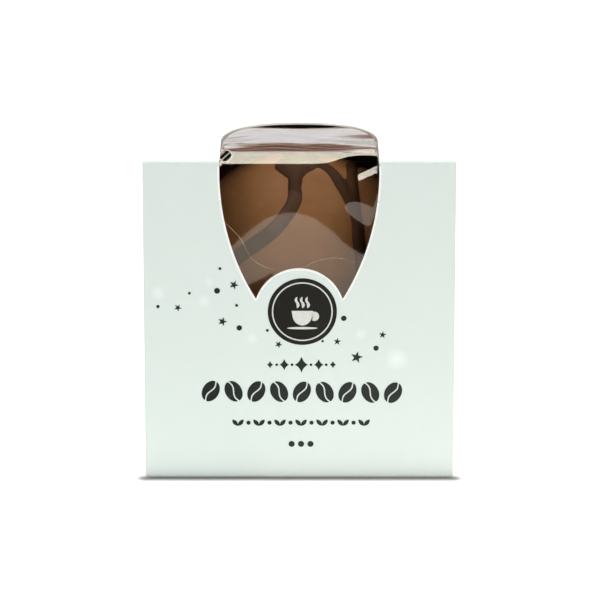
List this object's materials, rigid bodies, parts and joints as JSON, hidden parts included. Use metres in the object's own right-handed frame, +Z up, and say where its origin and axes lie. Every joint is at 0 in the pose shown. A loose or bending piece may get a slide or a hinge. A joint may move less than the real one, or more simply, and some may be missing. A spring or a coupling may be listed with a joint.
{
  "type": "boxed hot chocolate sphere",
  "caption": "Shut folding carton with a clear window over its top front crease, showing a milk chocolate ball with dark chocolate lines.",
  "frame": {"origin": "centre of the carton's base, on the surface it stands on", "axes": "+Z up along the carton's height, -Y out of the front panel with the window, +X to the right as the front is seen"},
  "size_m": [0.072, 0.072, 0.076],
  "materials": {
    "mint_board": "satin",
    "clear_film": "gloss",
    "milk_chocolate": "satin"
  },
  "bodies": {
    "root": {"carton": "mint_board", "window_film": "clear_film", "chocolate_ball": "milk_chocolate"}
  },
  "joints": []
}
